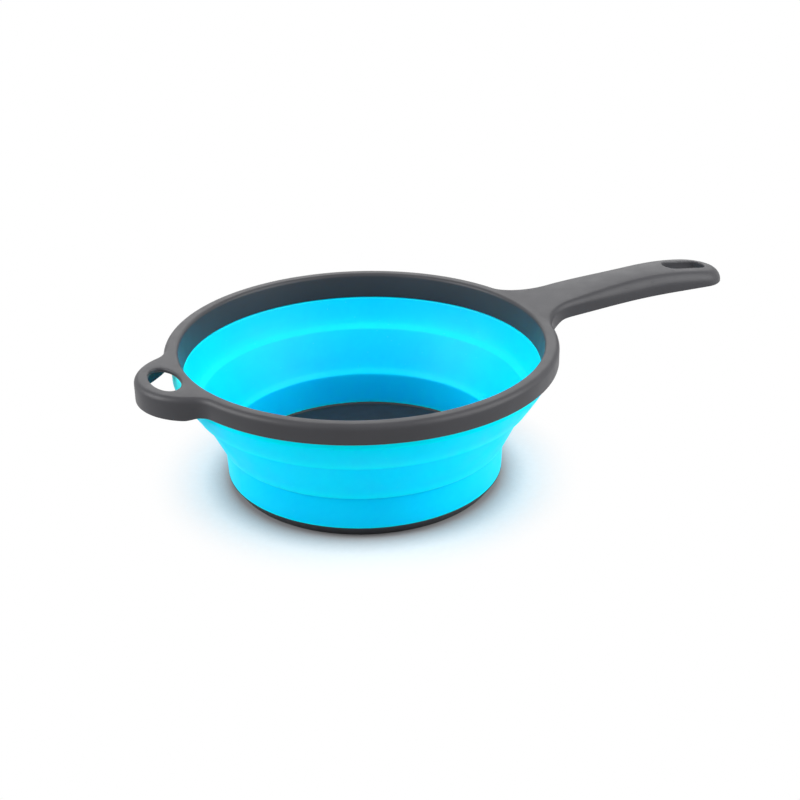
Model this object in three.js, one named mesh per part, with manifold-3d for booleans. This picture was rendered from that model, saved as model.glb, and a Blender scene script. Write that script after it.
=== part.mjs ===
// Collapsible colander: a grey rim frame with a handle and a lug, a blue silicone wall that folds
// between two creases, and a grey strainer base. Millimetres, +Z up, origin on the bowl's axis at the
// plane that the base stands on, +X towards the handle.
import * as THREE from "three";
import { mergeVertices } from "three/addons/utils/BufferGeometryUtils.js";
import Module from "manifold-3d";

// Driving dimensions, rim frame
const RIM_RADIUS = 100;
const RIM_WIDTH = 7.4;
const RIM_SKIRT_DEPTH = 9.8;
const RIM_INNER_DEPTH = 13.3;
const RIM_INNER_DRAFT = 1.6;
const RIM_WALL = 1.8;
const RIM_PLATE = 2.2;
const RIM_OUTER_ROUND = 3;
const RIM_INNER_ROUND = 2;

// Driving dimensions, lug opposite the handle
const LUG_REACH = 18.5;
const LUG_RADIUS = 30;
const LUG_FILLET = 13;
const LUG_SKIRT_DEPTH = 11.6;
const LUG_HOLE_LENGTH = 28;
const LUG_HOLE_WIDTH = 14;
const LUG_HOLE_FROM_TIP = 14;

// Driving dimensions, handle: lengths run outwards from the rim, heights from the rim's top
const HANDLE_LENGTH = 123.5;
const HANDLE_NECK_HALF_WIDTH = 15;
const HANDLE_NECK_FILLET = 24;
const HANDLE_WAIST_HALF_WIDTH = 13.8;
const HANDLE_WAIST_AT = 63;
const HANDLE_END_RADIUS = 15.4;
const HANDLE_PEAK_AT = 73;
const HANDLE_RISE = 6.2;
const HANDLE_NECK_RISE = 0.75;
const HANDLE_TIP_DROP = 0.2;
const HANDLE_NECK_UNDERSIDE_DROP = 6.9;
const HANDLE_UNDERSIDE_DROP = 5;
const HANDLE_TIP_UNDERSIDE_DROP = 6.2;
const HANDLE_NECK_CURVE = 1.9;
const HANDLE_BOW = 2;
const HANDLE_CROWN = 1.6;
const HANDLE_ROUND = 3.6;
const HANDLE_HOLE_LENGTH = 26.8;
const HANDLE_HOLE_WIDTH = 11.5;
const HANDLE_HOLE_FROM_TIP = 23;
const HANDLE_RIB_COUNT = 4;
const HANDLE_RIB_THICKNESS = 1.6;
const HANDLE_RIB_RECESS = 1.6;

// Driving dimensions, silicone wall: each band's height, and how far it draws in from top to bottom
const SLEEVE_WALL = 1.9;
const SLEEVE_TONGUE = 1.8;
const UPPER_BAND_HEIGHT = 13.3;
const UPPER_BAND_INSET = 4.65;
const UPPER_LIP_DROP = 2.2;
const UPPER_LIP_INSET = 0.85;
const FOLD_BAND_HEIGHT = 25.45;
const FOLD_BAND_INSET = 15.75;
const FOLD_LIP = 1.4;
const FOLD_SHOULDER_HEIGHT = 3.2;
const FOLD_SHOULDER_WIDTH = 3.45;
const LOWER_BAND_HEIGHT = 17.2;
const LOWER_BAND_INSET = 0.7;
const FOLD_RING_COUNT = 6;

// Driving dimensions, strainer base
const BASE_HEIGHT = 5.75;
const BASE_FLOOR_TOP = 4.7;
const BASE_FLOOR_THICKNESS = 2.2;
const BASE_FOOT_WIDTH = 3.4;
const BASE_TAPER = 3.5;
const BASE_PAD_RADIUS = 9;
const DRAIN_HOLE_DIAMETER = 5;
const DRAIN_ROW_PITCH = 11.5;
const DRAIN_BORDER = 24;

// Gap between neighbouring pieces
const SEAM = 0.3;

// Facets
const ROUND_SEGMENTS = 64;
const ARC_STEPS = 4;
const DRAIN_HOLE_SIDES = 8;
const PLAN_ARC_STEPS = 10;
const OVAL_SIDES = 24;

// Places that follow from the sizes
const baseTop = BASE_HEIGHT;
const lowCreaseZ = baseTop + LOWER_BAND_HEIGHT;
const highCreaseZ = lowCreaseZ + FOLD_BAND_HEIGHT;
const rimInnerBottom = highCreaseZ + UPPER_BAND_HEIGHT;
const rimTop = rimInnerBottom + RIM_INNER_DEPTH;
const skirtBottom = rimTop - RIM_SKIRT_DEPTH;
const rimInnerRadius = RIM_RADIUS - RIM_WIDTH;
const rimInnerFoot = rimInnerRadius - RIM_INNER_DRAFT;
const channelInner = rimInnerRadius + RIM_WALL;
const channelOuter = RIM_RADIUS - RIM_WALL;
const channelTop = rimTop - RIM_PLATE;
const highCreaseInner = rimInnerFoot - UPPER_BAND_INSET;
const highCreaseOuter = highCreaseInner + SLEEVE_WALL;
const lowCreaseInner = highCreaseInner - FOLD_BAND_INSET;
const lowCreaseOuter = lowCreaseInner + SLEEVE_WALL;
const baseRadius = lowCreaseOuter - LOWER_BAND_INSET;
const handleTip = RIM_RADIUS + HANDLE_LENGTH;

// Materials
const greyPlastic = new THREE.MeshStandardMaterial({ color: 0x55565a, roughness: 0.55, metalness: 0 });
const darkPlastic = new THREE.MeshStandardMaterial({ color: 0x36373b, roughness: 0.55, metalness: 0 });
const blueSilicone = new THREE.MeshStandardMaterial({ color: 0x00c4f4, roughness: 0.45, metalness: 0 });

const wasm = await Module();
wasm.setup();

// A closed geometry as a solid that can be joined and cut
function solidOf(geometry) {
  const bare = new THREE.BufferGeometry();
  bare.setAttribute("position", geometry.getAttribute("position"));
  bare.setIndex(geometry.getIndex());
  const merged = mergeVertices(bare);
  const vertProperties = merged.getAttribute("position").array;
  const triVerts = new Uint32Array(merged.getIndex().array);
  return new wasm.Manifold(new wasm.Mesh({ numProp: 3, vertProperties, triVerts }));
}

// The solid's vertices and triangles as a geometry
function geometryOf(solid) {
  const mesh = solid.getMesh();
  const geometry = new THREE.BufferGeometry();
  geometry.setAttribute("position", new THREE.BufferAttribute(mesh.vertProperties, 3));
  geometry.setIndex(new THREE.BufferAttribute(mesh.triVerts, 1));
  geometry.computeVertexNormals();
  return geometry;
}

function namedMesh(name, geometry, material) {
  const mesh = new THREE.Mesh(geometry, material);
  mesh.name = name;
  return mesh;
}

// A ring about the Z axis: the outline holds [radius, height] corners, counter-clockwise
function turned(outline) {
  const points = [...outline, outline[0]].map(([radius, height]) => new THREE.Vector2(radius, height));
  return new THREE.LatheGeometry(points, ROUND_SEGMENTS).rotateX(Math.PI / 2);
}

// Corners of a quarter round from one angle to another, about a centre
function quarterRound([radius, height], round, fromAngle) {
  const corners = [];
  for (let step = 0; step <= ARC_STEPS; step += 1) {
    const angle = fromAngle + (step / ARC_STEPS) * (Math.PI / 2);
    corners.push([radius + round * Math.cos(angle), height + round * Math.sin(angle)]);
  }
  return corners;
}

// An upright prism of a plane shape, between two heights
function upright(shape, bottom, top, curveSegments) {
  const settings = { depth: top - bottom, bevelEnabled: false, curveSegments };
  return new THREE.ExtrudeGeometry(shape, settings).translate(0, 0, bottom);
}

function boxBetween([x0, y0, z0], [x1, y1, z1]) {
  const box = new THREE.BoxGeometry(x1 - x0, y1 - y0, z1 - z0);
  return box.translate((x0 + x1) / 2, (y0 + y1) / 2, (z0 + z1) / 2);
}

function polar(radius, angle) {
  return new THREE.Vector2(radius * Math.cos(angle), radius * Math.sin(angle));
}

// Rim frame: the round rim

function rimSolid() {
  const outerRound = quarterRound([RIM_RADIUS - RIM_OUTER_ROUND, rimTop - RIM_OUTER_ROUND], RIM_OUTER_ROUND, 0);
  const innerRound = quarterRound(
    [rimInnerRadius + RIM_INNER_ROUND, rimTop - RIM_INNER_ROUND],
    RIM_INNER_ROUND,
    Math.PI / 2,
  );
  return solidOf(
    turned([
      [rimInnerFoot, rimInnerBottom],
      [channelInner, rimInnerBottom],
      [channelInner, skirtBottom],
      [RIM_RADIUS, skirtBottom],
      ...outerRound,
      ...innerRound,
    ]),
  );
}

// The open channel under the rim, cut from below
function rimChannel() {
  return solidOf(
    turned([
      [channelInner, rimInnerBottom - RIM_WALL],
      [channelOuter, rimInnerBottom - RIM_WALL],
      [channelOuter, channelTop],
      [channelInner, channelTop],
    ]),
  );
}

// Rim frame: the lug

const lugCentreX = -(RIM_RADIUS + LUG_REACH - LUG_RADIUS);
const lugBottom = rimTop - LUG_SKIRT_DEPTH;
const lugHoleX = -(RIM_RADIUS + LUG_REACH - LUG_HOLE_FROM_TIP);

// Centre of the fillet between the lug's round end and the rim, on the +Y side
function lugFilletCentre() {
  const fromAxis = RIM_RADIUS + LUG_FILLET;
  const fromLug = LUG_RADIUS + LUG_FILLET;
  const x = (fromAxis ** 2 - fromLug ** 2 + lugCentreX ** 2) / (2 * lugCentreX);
  return new THREE.Vector2(x, Math.sqrt(fromAxis ** 2 - x ** 2));
}

// Plan of the lug, drawn in by a wall's thickness, and closed by an arc inside the rim
function lugPlan(drawnIn, innerRadius) {
  const fillet = lugFilletCentre();
  const rimAngle = Math.atan2(fillet.y, fillet.x);
  const lugAngle = Math.atan2(fillet.y, fillet.x - lugCentreX);
  const start = polar(RIM_RADIUS - drawnIn, rimAngle);
  const shape = new THREE.Shape();
  shape.moveTo(start.x, start.y);
  shape.absarc(fillet.x, fillet.y, LUG_FILLET + drawnIn, rimAngle - Math.PI, lugAngle - Math.PI, true);
  shape.absarc(lugCentreX, 0, LUG_RADIUS - drawnIn, lugAngle, -lugAngle, false);
  shape.absarc(fillet.x, -fillet.y, LUG_FILLET + drawnIn, Math.PI - lugAngle, Math.PI - rimAngle, true);
  shape.absarc(0, 0, innerRadius, -rimAngle, rimAngle, true);
  return shape;
}

function lugSolid() {
  const settings = {
    depth: LUG_SKIRT_DEPTH,
    curveSegments: PLAN_ARC_STEPS,
    bevelThickness: RIM_OUTER_ROUND,
    bevelSize: RIM_OUTER_ROUND,
    bevelOffset: -RIM_OUTER_ROUND,
    bevelSegments: ARC_STEPS,
  };
  const plan = lugPlan(0, (rimInnerRadius + channelInner) / 2);
  const block = new THREE.ExtrudeGeometry(plan, settings);
  block.translate(0, 0, lugBottom - RIM_OUTER_ROUND);
  const reach = RIM_RADIUS + LUG_REACH;
  const below = boxBetween([-2 * reach, -reach, lugBottom - LUG_SKIRT_DEPTH], [0, reach, lugBottom]);
  return solidOf(block).subtract(solidOf(below));
}

function lugCavity() {
  const plan = lugPlan(RIM_WALL, channelInner + SEAM);
  return solidOf(upright(plan, rimInnerBottom, channelTop, PLAN_ARC_STEPS));
}

function lugHole() {
  const oval = new THREE.Shape();
  oval.absellipse(lugHoleX, 0, LUG_HOLE_WIDTH / 2, LUG_HOLE_LENGTH / 2, 0, 2 * Math.PI);
  return solidOf(upright(oval, lugBottom, rimTop + RIM_PLATE, OVAL_SIDES));
}

// Rim frame: the handle

const neckCentreY = HANDLE_NECK_HALF_WIDTH + HANDLE_NECK_FILLET;
const neckCentreX = Math.sqrt((RIM_RADIUS + HANDLE_NECK_FILLET) ** 2 - neckCentreY ** 2);
const handleStart = (neckCentreX * RIM_RADIUS) / (RIM_RADIUS + HANDLE_NECK_FILLET);
const handleWaist = RIM_RADIUS + HANDLE_WAIST_AT;
const handlePeak = RIM_RADIUS + HANDLE_PEAK_AT;
const handleEndCentre = handleTip - HANDLE_END_RADIUS;

// Half the handle's width: a fillet at the rim, a waist, and a round end
function handleHalfWidth(x) {
  if (x < neckCentreX) {
    return neckCentreY - Math.sqrt(HANDLE_NECK_FILLET ** 2 - (neckCentreX - x) ** 2);
  }
  if (x < handleWaist) {
    const share = THREE.MathUtils.smoothstep(x, neckCentreX, handleWaist);
    return THREE.MathUtils.lerp(HANDLE_NECK_HALF_WIDTH, HANDLE_WAIST_HALF_WIDTH, share);
  }
  if (x < handleEndCentre) {
    const share = THREE.MathUtils.smoothstep(x, handleWaist, handleEndCentre);
    return THREE.MathUtils.lerp(HANDLE_WAIST_HALF_WIDTH, HANDLE_END_RADIUS, share);
  }
  return Math.sqrt(Math.max(HANDLE_END_RADIUS ** 2 - (x - handleEndCentre) ** 2, 0));
}

// A height that arches from the rim over the peak to the tip
function arched(x, atRim, atPeak, atTip, neckCurve) {
  if (x < handlePeak) {
    return rimTop + atPeak + (atRim - atPeak) * ((handlePeak - x) / HANDLE_PEAK_AT) ** neckCurve;
  }
  return rimTop + atPeak + (atTip - atPeak) * ((x - handlePeak) / (handleTip - handlePeak)) ** HANDLE_BOW;
}

function handleTopAt(x) {
  return arched(x, HANDLE_NECK_RISE, HANDLE_RISE, -HANDLE_TIP_DROP, HANDLE_NECK_CURVE);
}

function handleUndersideAt(x) {
  const atRim = -HANDLE_NECK_UNDERSIDE_DROP;
  return arched(x, atRim, -HANDLE_UNDERSIDE_DROP, -HANDLE_TIP_UNDERSIDE_DROP, HANDLE_BOW);
}

// Where the handle's cross-sections stand: close together in the neck and round the end
function handleStations(end) {
  const stations = [];
  const neckSteps = 5;
  for (let step = 0; step < neckSteps; step += 1) {
    const turn = (1 - step / neckSteps) * Math.acos(neckCentreY / (RIM_RADIUS + HANDLE_NECK_FILLET));
    stations.push(Math.max(handleStart, neckCentreX - HANDLE_NECK_FILLET * Math.sin(turn)));
  }
  const shaftSteps = 9;
  for (let step = 0; step < shaftSteps; step += 1) {
    stations.push(THREE.MathUtils.lerp(neckCentreX, handleEndCentre, step / shaftSteps));
  }
  const endSteps = 7;
  const endTurn = Math.asin((end - handleEndCentre) / HANDLE_END_RADIUS);
  for (let step = 0; step <= endSteps; step += 1) {
    stations.push(handleEndCentre + HANDLE_END_RADIUS * Math.sin((endTurn * step) / endSteps));
  }
  return stations;
}

// One cross-section: a crowned top with round edges over straight sides
function handleSection(x, wall, plate, underside) {
  const half = handleHalfWidth(x) - wall;
  const top = handleTopAt(x) - plate;
  const round = Math.min(HANDLE_ROUND, half / 2, (top - underside) / 2);
  const grown = HANDLE_CROWN * THREE.MathUtils.smoothstep(x, RIM_RADIUS, handleWaist);
  const crown = Math.min(grown, round / 2);
  const corner = quarterRound([half - round, top - crown - round], round, 0);
  const right = [...corner, [(half - round) / 2, top - crown / 4]];
  const left = right.map(([y, z]) => [-y, z]).reverse();
  return [[-half, underside], [half, underside], ...right, [0, top], ...left];
}

// A solid through cross-sections that stand along X, each with as many corners
function lofted(stations, sectionAt) {
  const sections = stations.map(sectionAt);
  const corners = sections[0].length;
  const positions = sections.flatMap((section, i) => section.flatMap(([y, z]) => [stations[i], y, z]));
  const index = [];
  for (let i = 0; i + 1 < sections.length; i += 1) {
    for (let j = 0; j < corners; j += 1) {
      const here = i * corners + j;
      const beside = i * corners + ((j + 1) % corners);
      index.push(here, beside, beside + corners, here, beside + corners, here + corners);
    }
  }
  const last = (sections.length - 1) * corners;
  const flat = (section) => section.map(([y, z]) => new THREE.Vector2(y, z));
  for (const [a, b, c] of THREE.ShapeUtils.triangulateShape(flat(sections[0]), [])) {
    index.push(c, b, a);
  }
  for (const [a, b, c] of THREE.ShapeUtils.triangulateShape(flat(sections.at(-1)), [])) {
    index.push(last + a, last + b, last + c);
  }
  const geometry = new THREE.BufferGeometry();
  geometry.setAttribute("position", new THREE.Float32BufferAttribute(positions, 3));
  geometry.setIndex(index);
  return geometry;
}

function handleSolid() {
  const stations = handleStations(handleTip - RIM_WALL / 10);
  return solidOf(lofted(stations, (x) => handleSection(x, 0, 0, handleUndersideAt(x))));
}

// Plan of the hanging hole, grown by a wall's thickness
function handleHolePlan(grown) {
  const round = HANDLE_HOLE_WIDTH / 2;
  const straight = HANDLE_HOLE_LENGTH / 2 - round;
  const middle = handleTip - HANDLE_HOLE_FROM_TIP;
  const slot = new THREE.Shape();
  slot.absarc(middle + straight, 0, round + grown, -Math.PI / 2, Math.PI / 2, false);
  slot.absarc(middle - straight, 0, round + grown, Math.PI / 2, (3 * Math.PI) / 2, false);
  return slot;
}

// The wall round the hanging hole, as deep as the ribs
function handleCollar() {
  const low = handleUndersideAt(handleTip - HANDLE_HOLE_FROM_TIP) + HANDLE_RIB_RECESS;
  return solidOf(upright(handleHolePlan(RIM_WALL), low, rimTop + 2 * HANDLE_RISE, PLAN_ARC_STEPS));
}

// The hollow under the handle, with cross ribs and the hole's collar left standing in it
function handleCavity() {
  const stations = handleStations(handleTip - RIM_WALL);
  const floor = skirtBottom - RIM_PLATE;
  const insideAt = (x) => handleSection(x, RIM_WALL, RIM_PLATE, floor);
  let cavity = solidOf(lofted(stations, insideAt));
  const ribSpan = handleTip - HANDLE_HOLE_FROM_TIP - HANDLE_HOLE_LENGTH / 2 - neckCentreX;
  for (let rib = 0; rib < HANDLE_RIB_COUNT; rib += 1) {
    const x = neckCentreX + (ribSpan * rib) / HANDLE_RIB_COUNT;
    const low = [x, -HANDLE_NECK_HALF_WIDTH, handleUndersideAt(x) + HANDLE_RIB_RECESS];
    const high = [x + HANDLE_RIB_THICKNESS, HANDLE_NECK_HALF_WIDTH, rimTop + HANDLE_RISE];
    cavity = cavity.subtract(solidOf(boxBetween(low, high)));
  }
  return cavity.subtract(handleCollar());
}

function handleHole() {
  return solidOf(upright(handleHolePlan(0), skirtBottom, rimTop + 2 * HANDLE_RISE, PLAN_ARC_STEPS));
}

function rimFrame() {
  const outside = rimSolid().add(lugSolid()).add(handleSolid());
  const hollow = rimChannel().add(lugCavity()).add(handleCavity());
  const frame = outside.subtract(hollow).subtract(lugHole()).subtract(handleHole());
  return namedMesh("rim_frame", geometryOf(frame), greyPlastic);
}

// Silicone wall

// Corners of the fold band's two faces, outwards: from the lower crease up to a shoulder, which steps
// out under the upper crease
const shoulderZ = highCreaseZ - FOLD_SHOULDER_HEIGHT;
const shoulderInner = highCreaseInner - FOLD_SHOULDER_WIDTH;
const foldInside = [
  [lowCreaseInner, lowCreaseZ],
  [shoulderInner, shoulderZ],
  [highCreaseInner, highCreaseZ],
];
const foldOutside = [
  [lowCreaseOuter, lowCreaseZ],
  [lowCreaseOuter + FOLD_LIP, lowCreaseZ],
  [shoulderInner + SLEEVE_WALL, shoulderZ],
  [highCreaseOuter - UPPER_LIP_INSET, highCreaseZ - UPPER_LIP_DROP],
];

// The stretch of a face between two radii
function faceBetween(face, low, high) {
  const heightAt = (radius) => {
    const next = Math.max(face.findIndex(([corner]) => corner >= radius), 1);
    const [r0, z0] = face[next - 1];
    const [r1, z1] = face[next];
    return THREE.MathUtils.mapLinear(radius, r0, r1, z0, z1);
  };
  const between = face.filter(([corner]) => corner > low && corner < high);
  return [[low, heightAt(low)], ...between, [high, heightAt(high)]];
}

// The upper wall hangs in the rim's channel by a tongue, and ends in a lip at the upper crease
function upperWall() {
  const tongueInner = channelInner + SEAM;
  const tongueOuter = tongueInner + SLEEVE_TONGUE;
  const wallTop = rimInnerBottom - SEAM;
  const outline = [
    [rimInnerFoot, wallTop],
    [highCreaseInner, highCreaseZ],
    ...faceBetween(foldOutside, highCreaseInner, highCreaseOuter - UPPER_LIP_INSET),
    [tongueOuter, wallTop],
    [tongueOuter, channelTop - SEAM],
    [tongueInner, channelTop - SEAM],
    [tongueInner, wallTop],
  ];
  return namedMesh("upper_wall", turned(outline), blueSilicone);
}

// The fold band as narrow rings, which slide past each other as it turns inside out
function foldRings() {
  const inner = lowCreaseOuter + SEAM;
  const outer = highCreaseInner - SEAM;
  const pitch = (outer - inner + SEAM) / FOLD_RING_COUNT;
  const rings = [];
  for (let ring = 0; ring < FOLD_RING_COUNT; ring += 1) {
    const low = inner + ring * pitch;
    const high = low + pitch - SEAM;
    const outline = [...faceBetween(foldOutside, low, high), ...faceBetween(foldInside, low, high).reverse()];
    rings.push(namedMesh(`fold_ring_${ring + 1}`, turned(outline), blueSilicone));
  }
  return rings;
}

// The lower wall stands on the base and ends outside the lower crease
function lowerWall() {
  const outline = [
    [baseRadius - SLEEVE_WALL, baseTop],
    [baseRadius, baseTop],
    [lowCreaseOuter, lowCreaseZ],
    ...faceBetween(foldInside, lowCreaseInner, lowCreaseOuter).reverse(),
  ];
  return namedMesh("lower_wall", turned(outline), blueSilicone);
}

// Strainer base

const floorRadius = baseRadius - SLEEVE_WALL;
const footOuter = baseRadius - BASE_TAPER;
const footInner = footOuter - BASE_FOOT_WIDTH;
const floorUnderside = BASE_FLOOR_TOP - BASE_FLOOR_THICKNESS;

function drainHoles() {
  const holes = [];
  const outermost = floorRadius - DRAIN_BORDER - DRAIN_HOLE_DIAMETER / 2;
  const innermost = BASE_PAD_RADIUS + DRAIN_HOLE_DIAMETER;
  for (let radius = outermost; radius > innermost; radius -= DRAIN_ROW_PITCH) {
    const count = Math.floor((2 * Math.PI * radius) / DRAIN_ROW_PITCH);
    for (let hole = 0; hole < count; hole += 1) {
      const centre = polar(radius, (2 * Math.PI * hole) / count);
      const drill = new THREE.CylinderGeometry(
        DRAIN_HOLE_DIAMETER / 2,
        DRAIN_HOLE_DIAMETER / 2,
        3 * BASE_FLOOR_THICKNESS,
        DRAIN_HOLE_SIDES,
      );
      drill.rotateX(Math.PI / 2).translate(centre.x, centre.y, BASE_FLOOR_TOP);
      holes.push(solidOf(drill));
    }
  }
  return holes;
}

function strainerBase() {
  const outline = [
    [0, 0],
    [BASE_PAD_RADIUS, 0],
    [BASE_PAD_RADIUS, floorUnderside],
    [footInner, floorUnderside],
    [footInner, 0],
    [footOuter, 0],
    [baseRadius, baseTop - SEAM],
    [floorRadius, baseTop - SEAM],
    [floorRadius - SLEEVE_WALL / 2, BASE_FLOOR_TOP],
    [0, BASE_FLOOR_TOP],
  ];
  let base = solidOf(turned(outline));
  for (const hole of drainHoles()) {
    base = base.subtract(hole);
  }
  return namedMesh("base_strainer", geometryOf(base), darkPlastic);
}

const colander = new THREE.Group();
colander.name = "collapsible_colander";
colander.add(rimFrame(), upperWall(), ...foldRings(), lowerWall(), strainerBase());

export default colander;
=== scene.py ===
# Looks of the collapsible colander: a satin grey rim frame, a translucent blue silicone wall and a dark
# strainer base, on a white studio floor. Shapes are worked out in millimetres and made in metres.
import math
import bmesh
import bpy
from mathutils import Matrix, Vector
from mathutils.geometry import delaunay_2d_cdt
from mathutils.kdtree import KDTree


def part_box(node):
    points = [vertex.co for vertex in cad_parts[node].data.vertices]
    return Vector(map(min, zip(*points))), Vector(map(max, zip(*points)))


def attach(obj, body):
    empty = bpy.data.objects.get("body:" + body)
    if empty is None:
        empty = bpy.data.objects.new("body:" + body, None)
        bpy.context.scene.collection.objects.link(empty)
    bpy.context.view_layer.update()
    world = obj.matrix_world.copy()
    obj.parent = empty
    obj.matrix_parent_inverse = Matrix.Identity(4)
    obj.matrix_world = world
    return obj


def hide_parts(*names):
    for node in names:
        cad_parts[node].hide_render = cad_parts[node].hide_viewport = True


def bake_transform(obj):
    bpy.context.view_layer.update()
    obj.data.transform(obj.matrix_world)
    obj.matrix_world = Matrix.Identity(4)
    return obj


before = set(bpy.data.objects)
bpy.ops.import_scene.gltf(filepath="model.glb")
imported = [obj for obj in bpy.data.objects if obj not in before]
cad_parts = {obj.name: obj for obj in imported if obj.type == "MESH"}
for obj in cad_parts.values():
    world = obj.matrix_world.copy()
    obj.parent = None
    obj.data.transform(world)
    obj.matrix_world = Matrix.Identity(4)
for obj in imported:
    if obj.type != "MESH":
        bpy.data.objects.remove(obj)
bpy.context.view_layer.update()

MM = 0.001


def node_box(node):
    """Lowest and highest corners of a node, in millimetres."""
    low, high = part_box(node)
    return low / MM, high / MM


# Sizes read from the frame, in millimetres
frame_low, frame_high = node_box("rim_frame")
base_high = node_box("base_strainer")[1]
RIM_RADIUS = frame_high.y
RIM_INNER_BOTTOM = frame_low.z
HANDLE_TIP = frame_high.x
LUG_TIP = frame_low.x
BASE_RADIUS = base_high.x
BASE_TOP = base_high.z

# Sizes of the rim
RIM_INNER_DEPTH = 13.3
RIM_TOP = RIM_INNER_BOTTOM + RIM_INNER_DEPTH
RIM_WIDTH = 7.4
RIM_SKIRT_DEPTH = 9.8
RIM_WALL = 1.8
RIM_PLATE = 2.2
RIM_OUTER_ROUND = 3.0
RIM_INNER_ROUND = 2.0
RIM_INNER_RADIUS = RIM_RADIUS - RIM_WIDTH
RIM_INNER_DRAFT = 1.6
RIM_INNER_FOOT = RIM_INNER_RADIUS - RIM_INNER_DRAFT
CHANNEL_INNER = RIM_INNER_RADIUS + RIM_WALL

# Sizes of the lug
LUG_RADIUS = 30.0
LUG_FILLET = 13.0
LUG_SKIRT_DEPTH = 11.6
LUG_SKIRT_EASE = 8.0
LUG_CENTRE = LUG_TIP + LUG_RADIUS
LUG_HOLE_LENGTH = 28.0
LUG_HOLE_WIDTH = 14.0
LUG_HOLE_FROM_TIP = 14.0
LUG_HOLE_X = LUG_TIP + LUG_HOLE_FROM_TIP

# Sizes of the handle, with the turn to either side of its line in degrees
NECK_HALF_WIDTH = 15.0
NECK_FILLET = 24.0
NECK_Y = NECK_HALF_WIDTH + NECK_FILLET
NECK_X = math.sqrt((RIM_RADIUS + NECK_FILLET) ** 2 - NECK_Y**2)
NECK_CURVE = 1.9
NECK_RISE = 0.75
NECK_UNDERSIDE_DROP = 6.9
NECK_SKIRT_EASE = 14.0
NECK_BEAD_SOFTNESS = 0.25
NECK_FULL_TURN = 14.0
NECK_LAST_TURN = 20.0
WAIST_HALF_WIDTH = 13.8
WAIST_AT = 63.0
WAIST_X = RIM_RADIUS + WAIST_AT
PEAK_AT = 73.0
PEAK_X = RIM_RADIUS + PEAK_AT
HANDLE_RISE = 6.2
HANDLE_TIP_DROP = 0.2
HANDLE_UNDERSIDE_DROP = 5.0
TIP_UNDERSIDE_DROP = 6.2
HANDLE_BOW = 2.0
HANDLE_CROWN = 1.6
HANDLE_ROUND = 5.2
END_RADIUS = 15.4
END_X = HANDLE_TIP - END_RADIUS
HANDLE_HOLE_LENGTH = 26.8
HANDLE_HOLE_WIDTH = 11.5
HANDLE_HOLE_FROM_TIP = 22.8
HANDLE_HOLE_X = HANDLE_TIP - HANDLE_HOLE_FROM_TIP
RIB_COUNT = 4
RIB_THICKNESS = 1.6
RIB_RECESS = 1.6
RIB_SINK = 0.6

# Small edges of the mouldings
EDGE_ROUND = 0.5
HOLE_ROUND = 0.9
DRAIN_ROUND = 0.5
CAVITY_FILLET = 0.8
SEAM = 0.3

# Sizes of the silicone wall
SLEEVE_WALL = 1.9
SLEEVE_TONGUE = 1.8
LOW_CREASE_Z = 22.95
HIGH_CREASE_Z = 48.4
UPPER_BAND_INSET = 4.65
FOLD_BAND_INSET = 15.75
HIGH_CREASE_INNER = RIM_INNER_FOOT - UPPER_BAND_INSET
LOW_CREASE_INNER = HIGH_CREASE_INNER - FOLD_BAND_INSET
FOLD_LIP = 1.4
FOLD_LEDGE_HEIGHT = 2.6
FOLD_LEDGE_WIDTH = 2.2
FOLD_SHOULDER_HEIGHT = 3.2
FOLD_SHOULDER_WIDTH = 3.45
SHOULDER_Z = HIGH_CREASE_Z - FOLD_SHOULDER_HEIGHT
SHOULDER_INNER = HIGH_CREASE_INNER - FOLD_SHOULDER_WIDTH
UPPER_LIP_DROP = 2.2
UPPER_LIP_INSET = 0.85
UPPER_LIP_Z = HIGH_CREASE_Z - UPPER_LIP_DROP
UPPER_LIP_OUTER = HIGH_CREASE_INNER + SLEEVE_WALL - UPPER_LIP_INSET
WALL_BULGE = 0.4
THINNING = 7.0
FOLD_RING_COUNT = 6

# Sizes of the strainer base
FLOOR_TOP = 4.7
FLOOR_UNDERSIDE = 2.5
FLOOR_RADIUS = BASE_RADIUS - SLEEVE_WALL
BASE_TAPER = 3.5
FOOT_WIDTH = 3.4
FOOT_OUTER = BASE_RADIUS - BASE_TAPER
FOOT_INNER = FOOT_OUTER - FOOT_WIDTH
PAD_RADIUS = 9.0
DRAIN_RADIUS = 2.5
DRAIN_ROW_PITCH = 11.5
DRAIN_BORDER = 24.0

# Steps along the curves of the fine surface
ROUND_STEPS = 9
EDGE_STEPS = 3
TURN_STEPS = 256
HOLE_STEPS = 28
FOLD_STEPS = 32
WALL_STEPS = 16
END_STEPS = 18
SHAFT_STEPS = 36
NECK_STEPS = 18
RIM_STEPS = 96
LUG_FILLET_STEPS = 10
LUG_STEPS = 20
SLOPE_STEP = 0.05
SHARP_ANGLE = math.radians(38)

# Spacing of the points inside the flat faces, with the spread to either side of the handle's line in degrees
NECK_RINGS = 15
NECK_RING_STEP = 0.45
NECK_SPREAD = 22
HANDLE_GRID_STEP = 2.4
HANDLE_GRID_START = RIM_RADIUS + 2.0
HANDLE_GRID_HALF_WIDTH = END_RADIUS + 20.0
LUG_GRID_STEP = 3.2
LUG_GRID_END = -RIM_RADIUS + 10.0
PLATE_CLEARANCE = 1.1
FLOOR_GRID_STEP = 5.0
FLOOR_CLEARANCE = 2.0
MERGE_DISTANCE = 1e-4


def smoothstep(low, high, value):
    share = min(max((value - low) / (high - low), 0.0), 1.0)
    return share * share * (3 - 2 * share)


def mix(one, other, share):
    return one + (other - one) * share


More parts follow.
